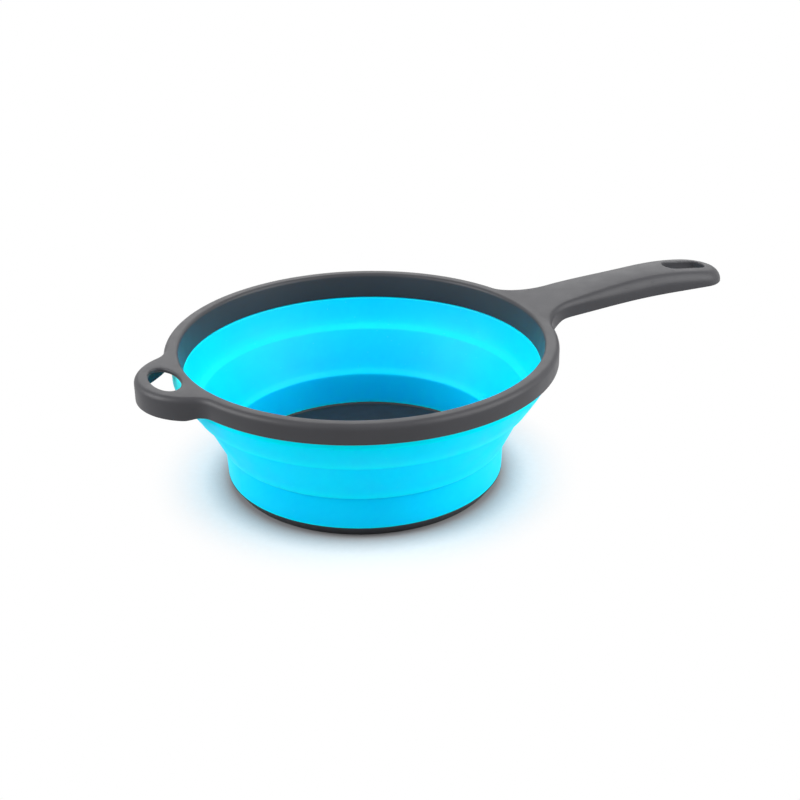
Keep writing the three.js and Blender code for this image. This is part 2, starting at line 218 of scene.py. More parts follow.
class Shell:
    """Points and faces of one closed piece, in millimetres."""

    def __init__(self):
        self.points = []
        self.faces = []

    def row(self, points):
        """Adds a closed row of points and gives their numbers."""
        first = len(self.points)
        self.points.extend(Vector(point) for point in points)
        return list(range(first, len(self.points)))

    def bridge(self, rows):
        """Joins each row to the next, which has as many points, by quads."""
        for one, other in zip(rows, rows[1:]):
            for here in range(len(one)):
                beside = (here + 1) % len(one)
                self.faces.append((one[here], one[beside], other[beside], other[here]))

    def fill(self, rows, loose, height_at):
        """Fills the plan inside the first closed row and outside the others, which are convex, with
        triangles through loose plan points."""
        known = [number for row in rows for number in row]
        owners = [place for place, row in enumerate(rows) for number in row]
        plan = [self.points[number].xy for number in known]
        edges = []
        first = 0
        for row in rows:
            count = len(row)
            edges.extend((first + i, first + (i + 1) % count) for i in range(count))
            first += count
        inside = 1
        made = delaunay_2d_cdt(plan + loose, edges, [], inside, MERGE_DISTANCE)
        spots, triangles, sources = made[0], made[2], made[3]
        numbers = {}
        for triangle in triangles:
            corners = [sources[spot][0] for spot in triangle]
            around = {owners[corner] if corner < len(known) else 0 for corner in corners}
            if len(around) == 1 and 0 not in around:
                continue
            for spot, corner in zip(triangle, corners):
                if corner < len(known):
                    numbers[spot] = known[corner]
                elif spot not in numbers:
                    x, y = spots[spot]
                    numbers[spot] = len(self.points)
                    self.points.append(Vector((x, y, height_at(x, y))))
            self.faces.append(tuple(numbers[spot] for spot in triangle))

    def clear_of(self, rows, loose, gap):
        """The loose plan points on the filled plan that keep a gap to the rows."""
        known = [number for row in rows for number in row]
        tree = KDTree(len(known))
        for place, number in enumerate(known):
            tree.insert((*self.points[number].xy, 0), place)
        tree.balance()
        edges = []
        for row in rows:
            spots = [self.points[number].xy for number in row]
            edges.extend(zip(spots, spots[1:] + spots[:1]))
        kept = [spot for spot in loose if tree.find((*spot, 0))[2] > gap]
        return [spot for spot in kept if crossings(spot, edges) % 2 == 1]


def crossings(spot, edges):
    """How many plan edges a line from the spot along +X crosses."""
    count = 0
    for one, other in edges:
        if (one.y > spot.y) != (other.y > spot.y):
            share = (spot.y - one.y) / (other.y - one.y)
            if mix(one.x, other.x, share) > spot.x:
                count += 1
    return count


def finished(name, shell, material):
    """The shell as a Blender object in metres, with smooth shading and its faces pointing out."""
    mesh = bpy.data.meshes.new(name)
    mesh.from_pydata([point * MM for point in shell.points], [], shell.faces)
    body = bmesh.new()
    body.from_mesh(mesh)
    bmesh.ops.recalc_face_normals(body, faces=body.faces)
    body.to_mesh(mesh)
    body.free()
    mesh.shade_smooth()
    mesh.set_sharp_from_angle(angle=SHARP_ANGLE)
    mesh.materials.append(material)
    piece = bpy.data.objects.new(name, mesh)
    bpy.context.scene.collection.objects.link(piece)
    return piece


def arc(centre, radius, start, end, steps, side=1):
    """Plan points along an arc without its last one, each with the direction away from the material."""
    made = []
    for step in range(steps):
        angle = mix(start, end, step / steps)
        away = Vector((math.cos(angle), math.sin(angle)))
        made.append((Vector(centre) + away * radius, away * side))
    return made


def circle_outline(radius, steps, side=1):
    return arc((0, 0), radius, 0, 2 * math.pi, steps, side)


def swept(shell, outline, section_at):
    """Sweeps a section along a closed outline and gives its first and last rows. A section is a list of
    distances drawn into the material, each with its height."""
    sections = [section_at(point, away) for point, away in outline]
    rows = []
    for across in range(len(sections[0])):
        points = []
        for (point, away), section in zip(outline, sections):
            drawn_in, height = section[across]
            spot = point - away * drawn_in
            points.append((spot.x, spot.y, height))
        rows.append(shell.row(points))
    shell.bridge(rows)
    return rows[0], rows[-1]


def turned(shell, profile, steps=TURN_STEPS):
    """Rows about the Z axis through a profile's radii and heights."""
    rows = []
    for radius, height in profile:
        spots = [point for point, away in circle_outline(radius, steps)]
        rows.append(shell.row([(spot.x, spot.y, height) for spot in spots]))
    shell.bridge(rows)
    return rows


def quarter(steps):
    """Shares in and down of a rounded edge, from the flat face to the side."""
    turns = [math.pi / 2 * (1 - step / steps) for step in range(steps + 1)]
    return [(1 - math.cos(turn), 1 - math.sin(turn)) for turn in turns]


# Heights of the rim frame


def half_width(x):
    """Half of the handle's width along its length."""
    if x < NECK_X:
        return NECK_Y - math.sqrt(max(NECK_FILLET**2 - (NECK_X - x) ** 2, 0))
    if x < WAIST_X:
        return mix(NECK_HALF_WIDTH, WAIST_HALF_WIDTH, smoothstep(NECK_X, WAIST_X, x))
    if x < END_X:
        return mix(WAIST_HALF_WIDTH, END_RADIUS, smoothstep(WAIST_X, END_X, x))
    return END_RADIUS


def arched(x, at_rim, at_peak, at_tip, neck_curve):
    """Height of a curve along the handle that passes three heights above the rim's top."""
    if x < PEAK_X:
        return RIM_TOP + at_peak + (at_rim - at_peak) * ((PEAK_X - x) / PEAK_AT) ** neck_curve
    past = (x - PEAK_X) / (HANDLE_TIP - PEAK_X)
    return RIM_TOP + at_peak + (at_tip - at_peak) * past**HANDLE_BOW


def handle_top(x, y):
    """Height of the handle's crowned upper face."""
    crown = HANDLE_CROWN * smoothstep(RIM_RADIUS, WAIST_X, x)
    middle = arched(x, NECK_RISE, HANDLE_RISE, -HANDLE_TIP_DROP, NECK_CURVE)
    return middle - crown * (y / half_width(x)) ** 2


def handle_underside(x):
    """Height of the lower edge of the handle's sides."""
    return arched(x, -NECK_UNDERSIDE_DROP, -HANDLE_UNDERSIDE_DROP, -TIP_UNDERSIDE_DROP, HANDLE_BOW)


def rim_bead(radius):
    """Height of the rim's rounded top where it runs on past the neck."""
    past = min(max(radius - (RIM_RADIUS - RIM_OUTER_ROUND), 0), RIM_OUTER_ROUND)
    return RIM_TOP - RIM_OUTER_ROUND + math.sqrt(RIM_OUTER_ROUND**2 - past**2)


def frame_top(x, y):
    """Height of the upper face, before its outer edge is rounded."""
    radius = math.hypot(x, y)
    if x < 0:
        return RIM_TOP
    bead = rim_bead(radius)
    handle = handle_top(x, y)
    gap = bead - handle
    joined = (bead + handle + math.sqrt(gap * gap + NECK_BEAD_SOFTNESS**2)) / 2
    turn = math.degrees(abs(math.atan2(y, x)))
    beside = smoothstep(NECK_FULL_TURN, NECK_LAST_TURN, turn)
    return mix(min(joined, max(RIM_TOP, handle)), RIM_TOP, beside)


def skirt_bottom(point):
    """Height of the skirt's lower edge along the outline."""
    past_rim = point.length - RIM_RADIUS
    rim = RIM_TOP - RIM_SKIRT_DEPTH
    if point.x < 0:
        return mix(rim, RIM_TOP - LUG_SKIRT_DEPTH, smoothstep(0, LUG_SKIRT_EASE, past_rim))
    return mix(rim, handle_underside(point.x), smoothstep(0, NECK_SKIRT_EASE, past_rim))


def edge_round(point):
    """Radius of the upper edge along the outline."""
    return mix(RIM_OUTER_ROUND, HANDLE_ROUND, smoothstep(RIM_RADIUS, WAIST_X, point.x))


# Plan of the rim frame


def frame_outline():
    """The frame's outline from the handle's tip round the rim and the lug, and back."""
    rim_angle = math.atan2(NECK_Y, NECK_X)
    from_axis = RIM_RADIUS + LUG_FILLET
    from_lug = LUG_RADIUS + LUG_FILLET
    fillet_x = (from_axis**2 - from_lug**2 + LUG_CENTRE**2) / (2 * LUG_CENTRE)
    fillet_y = math.sqrt(from_axis**2 - fillet_x**2)
    fillet = (fillet_x, fillet_y)
    lug_rim_angle = math.atan2(fillet_y, fillet_x)
    lug_angle = math.atan2(fillet_y, fillet_x - LUG_CENTRE)
    half = arc((END_X, 0), END_RADIUS, 0, math.pi / 2, END_STEPS)
    for step in range(SHAFT_STEPS):
        x = mix(END_X, NECK_X, step / SHAFT_STEPS)
        slope = half_width(x + SLOPE_STEP) - half_width(x - SLOPE_STEP)
        half.append((Vector((x, half_width(x))), Vector((-slope, 2 * SLOPE_STEP)).normalized()))
    half += arc((NECK_X, NECK_Y), NECK_FILLET, -math.pi / 2, rim_angle - math.pi, NECK_STEPS, side=-1)
    half += arc((0, 0), RIM_RADIUS, rim_angle, lug_rim_angle, RIM_STEPS)
    turn_in = lug_rim_angle - math.pi
    turn_out = lug_angle - math.pi
    half += arc(fillet, LUG_FILLET, turn_in, turn_out, LUG_FILLET_STEPS, side=-1)
    half += arc((LUG_CENTRE, 0), LUG_RADIUS, lug_angle, math.pi, LUG_STEPS)
    half.append((Vector((LUG_TIP, 0)), Vector((-1, 0))))
    flip = Vector((1, -1))
    mirrored = [(point * flip, away * flip) for point, away in half[-2:0:-1]]
    return half + mirrored


def lug_hole_outline():
    """An oval across the lug."""
    half_x = LUG_HOLE_WIDTH / 2
    half_y = LUG_HOLE_LENGTH / 2
    steps = 2 * HOLE_STEPS
    made = []
    for step in range(steps):
        turn = 2 * math.pi * step / steps
        point = Vector((LUG_HOLE_X + half_x * math.cos(turn), half_y * math.sin(turn)))
        inward = Vector((-half_y * math.cos(turn), -half_x * math.sin(turn)))
        made.append((point, inward.normalized()))
    return made


def handle_hole_outline():
    """A slot along the handle, with round ends."""
    radius = HANDLE_HOLE_WIDTH / 2
    straight = HANDLE_HOLE_LENGTH / 2 - radius
    far_end = HANDLE_HOLE_X + straight
    near_end = HANDLE_HOLE_X - straight
    right = arc((far_end, 0), radius, -math.pi / 2, math.pi / 2, HOLE_STEPS, side=-1)
    left = arc((near_end, 0), radius, math.pi / 2, 3 * math.pi / 2, HOLE_STEPS, side=-1)
    right_last = (Vector((far_end, radius)), Vector((0, -1)))
    left_last = (Vector((near_end, -radius)), Vector((0, 1)))
    return right + [right_last] + left + [left_last]


def grid(low, high, step):
    """Plan points in offset rows over a box."""
    made = []
    rows = int((high[1] - low[1]) / step) + 1
    columns = int((high[0] - low[0]) / step) + 1
    for row in range(rows):
        shift = step / 2 * (row % 2)
        for column in range(columns):
            made.append(Vector((low[0] + column * step + shift, low[1] + row * step)))
    return made


def neck_spots():
    """Plan points close together across the rim's bead at the neck."""
    made = []
    for ring in range(NECK_RINGS):
        radius = RIM_RADIUS - RIM_OUTER_ROUND + NECK_RING_STEP * ring
        for turn in range(-NECK_SPREAD, NECK_SPREAD + 1):
            angle = math.radians(turn + 0.5 * (ring % 2))
            made.append(Vector((radius * math.cos(angle), radius * math.sin(angle))))
    return made


# Rim frame


def wall_section(point, away, top_round, bottom, draft=0.0):
    """Across a wall that hangs from the plate: its rounded top edge, its lower edge, which a draft moves
    out, and the fillet inside."""
    section = []
    for share_in, share_down in quarter(ROUND_STEPS):
        spot = point - away * top_round * share_in
        section.append((top_round * share_in, frame_top(*spot) - top_round * share_down))
    for share_in, share_up in reversed(quarter(EDGE_STEPS)):
        section.append((EDGE_ROUND * share_in - draft, bottom + EDGE_ROUND * share_up))
    for share_in, share_up in quarter(EDGE_STEPS):
        section.append((RIM_WALL - EDGE_ROUND * share_in, bottom + EDGE_ROUND * share_up))
    for share_in, share_down in reversed(quarter(EDGE_STEPS)):
        drawn_in = RIM_WALL + CAVITY_FILLET * share_in
        spot = point - away * drawn_in
        section.append((drawn_in, frame_top(*spot) - RIM_PLATE - CAVITY_FILLET * share_down))
    return section


def hole_section(top, top_round, under, under_round):
    """Across the edge of a hole through a plate, rounded at its top and its underside."""
    section = []
    for share_in, share_down in quarter(EDGE_STEPS):
        section.append((top_round * share_in, top - top_round * share_down))
    for share_in, share_up in reversed(quarter(EDGE_STEPS)):
        section.append((under_round * share_in, under + under_round * share_up))
    return section


def add_ribs(shell):
    """Cross ribs in the hollow under the handle, each sunk a little into the plate and the sides."""
    span = HANDLE_HOLE_X - HANDLE_HOLE_LENGTH / 2 - NECK_X
    for rib in range(RIB_COUNT):
        x = NECK_X + span * rib / RIB_COUNT
        half = half_width(x) - RIM_WALL + RIB_SINK
        low = handle_underside(x) + RIB_RECESS
        high = handle_top(x, half) - RIM_PLATE + RIB_SINK
        corners = [(-half, low), (half, low), (half, high), (-half, high)]
        near, far = (shell.row([(side, y, z) for y, z in corners]) for side in (x, x + RIB_THICKNESS))
        shell.bridge([near, far])
        shell.faces.append(tuple(near))
        shell.faces.append(tuple(reversed(far)))


def make_rim_frame(material):
    shell = Shell()
    collar_bottom = handle_underside(HANDLE_HOLE_X) + RIB_RECESS

    def outer_section(point, away):
        return wall_section(point, away, edge_round(point), skirt_bottom(point))

    def inner_section(point, away):
        return wall_section(point, away, RIM_INNER_ROUND, RIM_INNER_BOTTOM, RIM_INNER_DRAFT)

    def collar_section(point, away):
        return wall_section(point, away, HOLE_ROUND, collar_bottom)

    def lug_hole_section(point, away):
        top = frame_top(*point)
        return hole_section(top, HOLE_ROUND, top - RIM_PLATE, EDGE_ROUND)

    def plate_underside(x, y):
        return frame_top(x, y) - RIM_PLATE

    edges = [
        swept(shell, frame_outline(), outer_section),
        swept(shell, circle_outline(RIM_INNER_RADIUS, TURN_STEPS, side=-1), inner_section),
        swept(shell, handle_hole_outline(), collar_section),
        swept(shell, lug_hole_outline(), lug_hole_section),
    ]
    handle_low = (HANDLE_GRID_START, -HANDLE_GRID_HALF_WIDTH)
    handle_high = (HANDLE_TIP, HANDLE_GRID_HALF_WIDTH)
    spots = neck_spots()
    spots += grid(handle_low, handle_high, HANDLE_GRID_STEP)
    spots += grid((LUG_TIP, -LUG_RADIUS), (LUG_GRID_END, LUG_RADIUS), LUG_GRID_STEP)
    tops = [first for first, last in edges]
    unders = [last for first, last in edges]
    shell.fill(tops, shell.clear_of(tops, spots, PLATE_CLEARANCE), frame_top)
    shell.fill(unders, shell.clear_of(unders, spots, PLATE_CLEARANCE), plate_underside)
    add_ribs(shell)
    piece = finished("rim_frame_moulding", shell, material)
    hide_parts("rim_frame")
    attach(piece, "rim")


# Silicone wall

# Name of the attribute that places painted light on the silicone: painted shade on the lower band, painted
# highlight towards the creases
PAINTED_LIGHT_ATTRIBUTE = "painted_light_share"


def radius_at(face, height):
    """Radius of a face, given by its corners upwards, at a height."""
    for (r0, z0), (r1, z1) in zip(face, face[1:]):
        if height <= z1:
            return mix(r0, r1, (height - z0) / (z1 - z0))
    return face[-1][0]


def fold_rows(face):
    """The fold band's rows up one face, at heights that both faces share."""
    low = LOW_CREASE_Z + EDGE_ROUND
    high = SHOULDER_Z - EDGE_ROUND
    heights = [mix(low, high, step / FOLD_STEPS) for step in range(FOLD_STEPS + 1)]
    return [(radius_at(face, height), height) for height in heights]


def between(low, high, bulge=0.0):
    """Rows between two places on a wall, fuller by the bulge in the middle."""
    made = []
    for step in range(1, WALL_STEPS):
        share = step / WALL_STEPS
        swell = bulge * math.sin(math.pi * share)
        made.append((mix(low[0], high[0], share) + swell, mix(low[1], high[1], share)))
    return made


def sleeve_profile():
    """Closed profile: up the outside, over the tongue in the rim's channel and down the inside."""
    edge = EDGE_ROUND
    low_outer = LOW_CREASE_INNER + SLEEVE_WALL
    fold_lip = low_outer + FOLD_LIP
    shoulder_outer = SHOULDER_INNER + SLEEVE_WALL
    wall_top = RIM_INNER_BOTTOM - SEAM
    tongue_inner = CHANNEL_INNER + SEAM
    tongue_outer = tongue_inner + SLEEVE_TONGUE
    tongue_top = RIM_TOP - RIM_PLATE - SEAM
    outside = [(fold_lip, LOW_CREASE_Z), (shoulder_outer, SHOULDER_Z)]
    ledge = (LOW_CREASE_INNER + FOLD_LEDGE_WIDTH, LOW_CREASE_Z + FOLD_LEDGE_HEIGHT)
    inside = [(LOW_CREASE_INNER, LOW_CREASE_Z), ledge, (SHOULDER_INNER, SHOULDER_Z)]
    lip_top = (UPPER_LIP_OUTER + edge / 3, UPPER_LIP_Z + edge)
    crease = (HIGH_CREASE_INNER + edge / 2, HIGH_CREASE_Z + edge)
    rim_outer = (tongue_outer, wall_top)
    rim_inner = (RIM_INNER_FOOT, wall_top - SEAM)
    foot_outer = (BASE_RADIUS, BASE_TOP + SEAM)
    foot_inner = (FLOOR_RADIUS, BASE_TOP)
    under_fold = (low_outer, LOW_CREASE_Z - edge)
    under_ledge = (LOW_CREASE_INNER - edge / 2, LOW_CREASE_Z - 3 * edge)
    profile = [(BASE_RADIUS - SEAM, BASE_TOP), foot_outer]
    profile += between(foot_outer, under_fold)
    profile += [
        under_fold,
        (low_outer + edge / 3, LOW_CREASE_Z - edge / 3),
        (low_outer + edge, LOW_CREASE_Z),
        (fold_lip - edge, LOW_CREASE_Z),
        (fold_lip - edge / 4, LOW_CREASE_Z + edge / 4),
    ]
    profile += fold_rows(outside)
    profile += [
        (shoulder_outer + edge / 3, SHOULDER_Z),
        (shoulder_outer + 2 * edge, SHOULDER_Z + edge / 2),
        (UPPER_LIP_OUTER - edge, UPPER_LIP_Z - edge / 4),
        (UPPER_LIP_OUTER, UPPER_LIP_Z + edge / 4),
        lip_top,
    ]
    profile += between(lip_top, rim_outer, WALL_BULGE)
    profile += [
        rim_outer,
        (tongue_outer, tongue_top),
        (tongue_inner, tongue_top),
        (tongue_inner, wall_top),
        (RIM_INNER_FOOT + SEAM, wall_top),
        rim_inner,
    ]
    profile += reversed(between(crease, rim_inner, WALL_BULGE))
    profile += [
        crease,
        (HIGH_CREASE_INNER - edge / 4, HIGH_CREASE_Z - edge / 4),
        (HIGH_CREASE_INNER - 2 * edge, HIGH_CREASE_Z - 2 * edge),
        (SHOULDER_INNER + edge, SHOULDER_Z + edge),
        (SHOULDER_INNER + edge / 4, SHOULDER_Z + edge / 4),
    ]
    profile += reversed(fold_rows(inside))
    profile += [
        (LOW_CREASE_INNER, LOW_CREASE_Z),
        (LOW_CREASE_INNER - edge / 4, LOW_CREASE_Z - edge),
        under_ledge,
    ]
    profile += reversed(between(foot_inner, under_ledge))
    profile.append(foot_inner)
    return profile


def painted_light_share(height):
    """Share of painted light by height: nought for painted shade on the lower band, a half in the bands
    above it, and up to one towards their creases for a painted highlight.
    """
    if height < LOW_CREASE_Z - EDGE_ROUND / 6:
        return 0
    crease = LOW_CREASE_Z if height < UPPER_LIP_Z - EDGE_ROUND else UPPER_LIP_Z
    return 1 - smoothstep(0, THINNING, height - crease) / 2


def make_sleeve(material):
    shell = Shell()
    rows = turned(shell, sleeve_profile())
    shell.bridge([rows[-1], rows[0]])
    piece = finished("silicone_sleeve", shell, material)
    # Stores at each point the share of painted shade and painted highlight
    shares = piece.data.attributes.new(PAINTED_LIGHT_ATTRIBUTE, "FLOAT", "POINT")
    for spot, share in zip(piece.data.vertices, shares.data):
        share.value = painted_light_share(spot.co.z / MM)
    folds = [f"fold_ring_{ring}" for ring in range(1, FOLD_RING_COUNT + 1)]
    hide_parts("upper_wall", "lower_wall", *folds)
    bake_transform(piece)


# Strainer base


def drain_outlines():
    """Round drain holes in rings about the axis."""
    made = []
    radius = FLOOR_RADIUS - DRAIN_BORDER - DRAIN_RADIUS
    while radius > PAD_RADIUS + 2 * DRAIN_RADIUS:
        count = int(2 * math.pi * radius / DRAIN_ROW_PITCH)
        for hole in range(count):
            turn = 2 * math.pi * hole / count
            centre = (radius * math.cos(turn), radius * math.sin(turn))
            made.append(arc(centre, DRAIN_RADIUS, 0, 2 * math.pi, HOLE_STEPS, side=-1))
        radius -= DRAIN_ROW_PITCH
    return made


def make_base(material):
    shell = Shell()

    def drain_section(point, away):
        return hole_section(FLOOR_TOP, DRAIN_ROUND, FLOOR_UNDERSIDE, DRAIN_ROUND)

    wall_profile = [
        (FLOOR_RADIUS - SLEEVE_WALL / 2, FLOOR_TOP),
        (FLOOR_RADIUS, BASE_TOP),
        (BASE_RADIUS - SEAM, BASE_TOP),
        (BASE_RADIUS - SEAM / 4, BASE_TOP - SEAM / 4),
        (BASE_RADIUS, BASE_TOP - SEAM),
        (FOOT_OUTER + EDGE_ROUND / 3, EDGE_ROUND),
        (FOOT_OUTER - EDGE_ROUND / 4, EDGE_ROUND / 4),
        (FOOT_OUTER - EDGE_ROUND, 0),
        (FOOT_INNER + EDGE_ROUND, 0),
        (FOOT_INNER, EDGE_ROUND),
        (FOOT_INNER, FLOOR_UNDERSIDE - EDGE_ROUND),
        (FOOT_INNER - EDGE_ROUND, FLOOR_UNDERSIDE),
    ]
    pad_profile = [
        (PAD_RADIUS + EDGE_ROUND, FLOOR_UNDERSIDE),
        (PAD_RADIUS, FLOOR_UNDERSIDE - EDGE_ROUND),
        (PAD_RADIUS, EDGE_ROUND),
        (PAD_RADIUS - EDGE_ROUND, 0),
    ]
    wall = turned(shell, wall_profile)
    pad = turned(shell, pad_profile, 2 * HOLE_STEPS)
    drains = [swept(shell, outline, drain_section) for outline in drain_outlines()]
    spots = grid((-FLOOR_RADIUS, -FLOOR_RADIUS), (FLOOR_RADIUS, FLOOR_RADIUS), FLOOR_GRID_STEP)
    tops = [wall[0]] + [first for first, last in drains]
    unders = [wall[-1], pad[0]] + [last for first, last in drains]
    shell.fill(tops, shell.clear_of(tops, spots, FLOOR_CLEARANCE), lambda x, y: FLOOR_TOP)
    shell.fill(unders, shell.clear_of(unders, spots, FLOOR_CLEARANCE), lambda x, y: FLOOR_UNDERSIDE)
    shell.fill([pad[-1]], [], lambda x, y: 0)
    piece = finished("strainer_base", shell, material)
    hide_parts("base_strainer")
    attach(piece, "base")


# Materials

# Colours in linear light, darker first where there are two
FRAME_GREYS = ((0.031, 0.031, 0.035), (0.037, 0.037, 0.042))
BASE_GREYS = ((0.020, 0.021, 0.024), (0.026, 0.027, 0.031))
BODY_BLUES = ((0.0, 0.63, 0.98), (0.0, 0.67, 1.0))
# Painted shade: a darker blue for the silicone's lower band
LOWER_BAND_SHADE_BLUES = ((0.0, 0.56, 0.85), (0.0, 0.6, 0.88))
# Painted shade in the inner creases
CREASE_SHADE_BLUE = (0.0, 0.42, 0.74)
# Painted highlight on outer edges and near the lips
EDGE_HIGHLIGHT_BLUE = (0.0, 0.82, 1.0)
DUST_BLUE = (0.35, 0.85, 1.0)
FLOOR_PALES = ((0.7, 0.7, 0.7), (0.73, 0.73, 0.73))
# Painted contact shadow on the floor
CONTACT_SHADOW_GREY = (0.28, 0.28, 0.29)

# Lowest and highest roughness
FRAME_ROUGHNESS = (0.42, 0.48)
BASE_ROUGHNESS = (0.42, 0.55)
SILICONE_ROUGHNESS = (0.4, 0.56)

# The span in which most of a noise lies
NOISE_SPAN = (0.3, 0.7)

# Spans of the painted light share and of pointiness, which is a half on a flat face and more on an outer
# edge
SHADE_TO_BODY = (0, 0.5)
BODY_TO_LIP_HIGHLIGHT = (0.5, 1)
INNER_CREASES = (0.42, 0.495)
OUTER_EDGES = (0.51, 0.57)


class Nodes:
    """The node tree of a material or a world, with short ways to add and join nodes."""

    def __init__(self, owner, output="ShaderNodeOutputMaterial"):
        owner.use_nodes = True
        self.owner = owner
        self.tree = owner.node_tree
        self.tree.nodes.clear()
        self.place = self.add("ShaderNodeTexCoord").outputs["Object"]
        self.output = self.add(output)

    def add(self, kind, **settings):
        """A node with its properties and the values of its inputs."""
        node = self.tree.nodes.new(kind)
        for key, value in settings.items():
            if hasattr(node, key):
                setattr(node, key, value)
            else:
                node.inputs[key].default_value = value
        return node

    def link(self, source, target):
        self.tree.links.new(source, target)

    def principled(self, settings):
        """The inputs of a shader with fixed settings, which is joined to the output."""
        node = self.add("ShaderNodeBsdfPrincipled", **settings)
        self.link(node.outputs["BSDF"], self.output.inputs["Surface"])
        return node.inputs

    def noise(self, scale, detail, place=None):
        """Noise with that many swells a metre."""
        node = self.add("ShaderNodeTexNoise", Scale=scale, Detail=detail)
        self.link(self.place if place is None else place, node.inputs["Vector"])
        return node.outputs["Fac"]

    def ranged(self, source, targets, span=NOISE_SPAN, **settings):
        """A source with the ends of its span mapped to the targets."""
        ends = {"From Min": span[0], "From Max": span[1], "To Min": targets[0], "To Max": targets[1]}
        node = self.add("ShaderNodeMapRange", **ends, **settings)
        self.link(source, node.inputs["Value"])
        return node.outputs["Result"]

    def ramp(self, source, colours, span=NOISE_SPAN):
        """From one colour to another along a source's span."""
        node = self.add("ShaderNodeValToRGB")
        for element, position, colour in zip(node.color_ramp.elements, span, colours):
            element.position = position
            element.color = (*colour, 1)
        self.link(source, node.inputs["Fac"])
        return node.outputs["Color"]

    def mixed(self, share, one, other):
        """From one colour to the other by a share. Each is a plain colour or comes from a node."""
        node = self.add("ShaderNodeMix", data_type="RGBA")
        self.link(share, node.inputs["Factor"])
        for name, colour in (("A", one), ("B", other)):
            if isinstance(colour, tuple):
                node.inputs[name].default_value = (*colour, 1)
            else:
                self.link(colour, node.inputs[name])
        return node.outputs["Result"]

    def combined(self, operation, one, other):
        """Two values put together."""
        node = self.add("ShaderNodeMath", operation=operation)
        self.link(one, node.inputs[0])
        self.link(other, node.inputs[1])
        return node.outputs["Value"]

    def bump(self, source, strength, distance, under=None):
        """A relief, over another where one is given."""
        node = self.add("ShaderNodeBump", Strength=strength, Distance=distance)
        self.link(source, node.inputs["Height"])
        if under is not None:
            self.link(under, node.inputs["Normal"])
        return node.outputs["Normal"]


def moulded_plastic(name, greys, roughness):
    """Satin polypropylene: a fine moulded grain, faint flow marks and a few hairline scuffs."""
    nodes = Nodes(bpy.data.materials.new(name))
    shader = nodes.principled({"IOR": 1.49, "Specular IOR Level": 0.3})
    flow_marks = nodes.noise(35, detail=4)
    nodes.link(nodes.ramp(flow_marks, greys, span=(0.35, 0.68)), shader["Base Color"])
    nodes.link(nodes.ranged(nodes.noise(120, detail=5), roughness), shader["Roughness"])
    grain = nodes.bump(nodes.noise(2600, detail=2), strength=0.16, distance=0.0001)
    swell = nodes.bump(nodes.noise(55, detail=1), strength=0.03, distance=0.0004, under=grain)
    stretch = nodes.add("ShaderNodeMapping", Scale=(40, 900, 300), Rotation=(0.2, 0.1, 0.6))
    nodes.link(nodes.place, stretch.inputs["Vector"])
    streaks = nodes.noise(1, detail=1, place=stretch.outputs["Vector"])
    scuffs = nodes.ranged(streaks, (0, 1), span=(0.7, 0.78))
    nodes.link(nodes.bump(scuffs, strength=0.12, distance=0.0001, under=swell), shader["Normal"])
    return nodes.owner


def silicone():
    """Bright blue silicone with dust on its satin skin, into which light goes a little way. Painted
    highlight makes outer edges and the bands near the lips paler, and painted shade makes inner creases and
    the lower band deeper."""
    nodes = Nodes(bpy.data.materials.new("blue_silicone"))
    shader = nodes.principled(
        {
            "IOR": 1.41,
            "Specular IOR Level": 0.1,
            "Subsurface Weight": 1.0,
            "Subsurface Radius": (0.1, 0.8, 1.0),
            "Subsurface Scale": 0.0018,
        }
    )
    swirls = nodes.noise(28, detail=3)
    body_blue = nodes.ramp(swirls, BODY_BLUES)
    lower_shade = nodes.ramp(swirls, LOWER_BAND_SHADE_BLUES)
    share = nodes.add("ShaderNodeAttribute", attribute_name=PAINTED_LIGHT_ATTRIBUTE).outputs["Fac"]
    curve = nodes.add("ShaderNodeNewGeometry").outputs["Pointiness"]
    # Painted shade: the lower band takes the darker blue
    body = nodes.mixed(nodes.ranged(share, (0, 1), SHADE_TO_BODY), lower_shade, body_blue)
    # Painted shade: inner creases take a deeper blue
    crease_shaded = nodes.mixed(nodes.ranged(curve, (0.9, 0), INNER_CREASES), body, CREASE_SHADE_BLUE)
    # Painted highlight: outer edges and the bands next to the lips take a paler blue
    edge_highlight = nodes.ranged(curve, (0, 0.8), OUTER_EDGES)
    lip_highlight = nodes.ranged(share, (0, 0.5), BODY_TO_LIP_HIGHLIGHT)
    highlighted = nodes.mixed(nodes.combined("MAXIMUM", edge_highlight, lip_highlight), crease_shaded, EDGE_HIGHLIGHT_BLUE)
    dust = nodes.add("ShaderNodeTexVoronoi", Scale=260.0)
    nodes.link(nodes.place, dust.inputs["Vector"])
    specks = nodes.ranged(dust.outputs["Distance"], (0.5, 0), span=(0, 0.06))
    nodes.link(nodes.mixed(specks, highlighted, DUST_BLUE), shader["Base Color"])
    nodes.link(nodes.ranged(nodes.noise(90, detail=5), SILICONE_ROUGHNESS), shader["Roughness"])
    skin = nodes.bump(nodes.noise(1400, detail=2), strength=0.08, distance=0.0001)
    swell = nodes.bump(nodes.noise(30, detail=1), strength=0.1, distance=0.001, under=skin)
    nodes.link(swell, shader["Normal"])
    return nodes.owner


# Studio, in metres

# The floor's half width, its painted contact shadow close to the base, and its fade to white by distance
# from the axis
FLOOR_REACH = 4.0
CONTACT_REACH = 0.026
CONTACT_SPAN = (0.4, 0.85)
FADE_SPAN = (0.068, 0.115)

# Strength of the even light
WORLD_LIGHT = 0.43

# The photograph's view
CAMERA_PLACE = (-0.2762, -0.5989, 0.3556)
CAMERA_HEADING = (0.4446, 0.8957, 0)
CAMERA_PITCH = math.radians(25.6)
CAMERA_ROLL = math.radians(0.9)
CAMERA_SENSOR = 36
CAMERA_LENS = 63.43


def seen_directly(nodes):
    """One for rays from the camera, off gloss or through clear things, and nought for the rest."""
    path = nodes.add("ShaderNodeLightPath").outputs
    plain = nodes.combined("MAXIMUM", path["Is Camera Ray"], path["Is Glossy Ray"])
    return nodes.combined("MAXIMUM", plain, path["Is Transmission Ray"])


